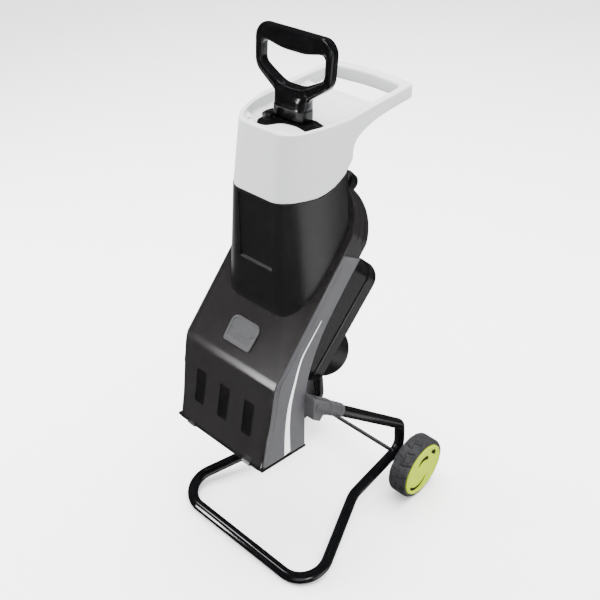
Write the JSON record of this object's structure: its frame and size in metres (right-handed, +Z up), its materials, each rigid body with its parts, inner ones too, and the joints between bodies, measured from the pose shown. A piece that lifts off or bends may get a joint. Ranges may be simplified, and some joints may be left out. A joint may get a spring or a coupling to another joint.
{
  "type": "electric wood chipper",
  "caption": "Upright electric garden shredder: hopper and D-handled plunger on a tip-forward chute over a spinning blade disc, on a bent tube stand with two wheels.",
  "frame": {"origin": "centre of the footprint of the whole machine's bounding box, on the floor", "axes": "+Z up, +Y to the wheels at the rear, +X to the operator's right when facing along +Y"},
  "size_m": [0.433, 0.5176, 1.1151],
  "materials": {
    "hopper_grey": "satin",
    "satin_black": "satin",
    "gloss_black": "gloss",
    "side_grey": "satin",
    "silver_trim": "satin silver",
    "badge_grey": "satin",
    "frame_paint": "gloss black powder coat",
    "socket_grey": "matt",
    "tyre_grey": "matt",
    "hub_lime": "satin",
    "steel": "machined",
    "alloy": "cast",
    "winding": "varnished copper",
    "belt_rubber": "matt",
    "switch_red": "satin"
  },
  "bodies": {
    "machine": {"frame_tube": "frame_paint", "right_socket": "socket_grey", "left_socket": "socket_grey", "axle": "frame_paint", "right_spacer": "socket_grey", "left_spacer": "socket_grey", "rear_housing": "satin_black", "right_side_panel": "side_grey", "left_side_panel": "side_grey", "right_stripe": "silver_trim", "left_stripe": "silver_trim", "outlet_frame": "gloss_black", "cover_hinge_rod": "frame_paint", "drive_casing": "gloss_black", "motor_cover": "gloss_black", "motor_end_cap": "gloss_black", "switch_frame": "satin_black", "switch_body": "satin_black", "overload_breaker": "satin_black", "power_inlet": "satin_black", "inlet_pin_line": "steel", "inlet_pin_neutral": "steel", "inlet_pin_earth": "steel", "bearing_carrier": "alloy", "front_bearing": "steel", "rear_bearing": "steel", "motor_plate": "alloy", "motor_front_bearing": "steel", "motor_rear_bearing": "steel", "motor_stator": "winding", "right_brush": "winding", "left_brush": "winding", "drive_belt": "belt_rubber"},
    "lid": {"front_cover": "satin_black", "badge_plate": "badge_grey", "feed_chute": "satin_black", "hopper": "hopper_grey"},
    "plunger": {"plunger_grip": "gloss_black", "plunger_plate": "gloss_black"},
    "knob": {"locking_knob": "gloss_black"},
    "cutter": {"cutter_disc": "steel", "blade_1": "steel", "blade_2": "steel", "blade_screw_1": "steel", "blade_screw_2": "steel", "blade_screw_3": "steel", "blade_screw_4": "steel", "disc_bolt": "steel", "spindle": "steel", "disc_pulley": "alloy"},
    "rotor": {"motor_rotor": "winding", "motor_fan": "satin_black", "motor_pulley": "steel"},
    "right_wheel": {"right_tyre": "tyre_grey", "right_hub": "hub_lime"},
    "left_wheel": {"left_tyre": "tyre_grey", "left_hub": "hub_lime"},
    "rocker": {"switch_rocker": "switch_red"},
    "reset": {"reset_button": "switch_red"}
  },
  "joints": [
    {"name": "lid_hinge", "type": "hinge", "parent": "machine", "child": "lid", "pos_m": [0, -0.2538, 0.3437], "axis": [1, 0, 0], "range_deg": [0, 70]},
    {"name": "plunger_slide", "type": "slide", "parent": "lid", "child": "plunger", "axis": [0, 0.0698, 0.9976], "range_m": [0, 0.15]},
    {"name": "knob_turn", "type": "hinge", "parent": "machine", "child": "knob", "pos_m": [0, 0.10855, 0.79541], "axis": [0, 0.7373, -0.6756], "range_deg": [0, 720]},
    {"name": "cutter_spin", "type": "hinge", "parent": "machine", "child": "cutter", "pos_m": [0, -0.01407, 0.66159], "axis": [0, 0.7373, -0.6756], "continuous": true},
    {"name": "rotor_spin", "type": "hinge", "parent": "machine", "child": "rotor", "pos_m": [0, -0.11203, 0.55469], "axis": [0, 0.7373, -0.6756], "continuous": true},
    {"name": "right_wheel_turn", "type": "hinge", "parent": "machine", "child": "right_wheel", "pos_m": [0.19, 0.1827, 0.0761], "axis": [1, 0, 0], "continuous": true},
    {"name": "left_wheel_turn", "type": "hinge", "parent": "machine", "child": "left_wheel", "pos_m": [-0.19, 0.1827, 0.0761], "axis": [1, 0, 0], "continuous": true},
    {"name": "switch_rock", "type": "hinge", "parent": "machine", "child": "rocker", "pos_m": [-0.0255, 0.10325, 0.58461], "axis": [1, 0, 0], "range_deg": [0, 12]},
    {"name": "reset_press", "type": "slide", "parent": "machine", "child": "reset", "axis": [0, -0.7373, 0.6756], "range_m": [0, 0.003], "stiffness_N_per_m": 700, "springref_m": -0.001}
  ],
  "couplings": [
    {"joint": "rotor_spin", "follows": "cutter_spin", "ratio": 4}
  ]
}
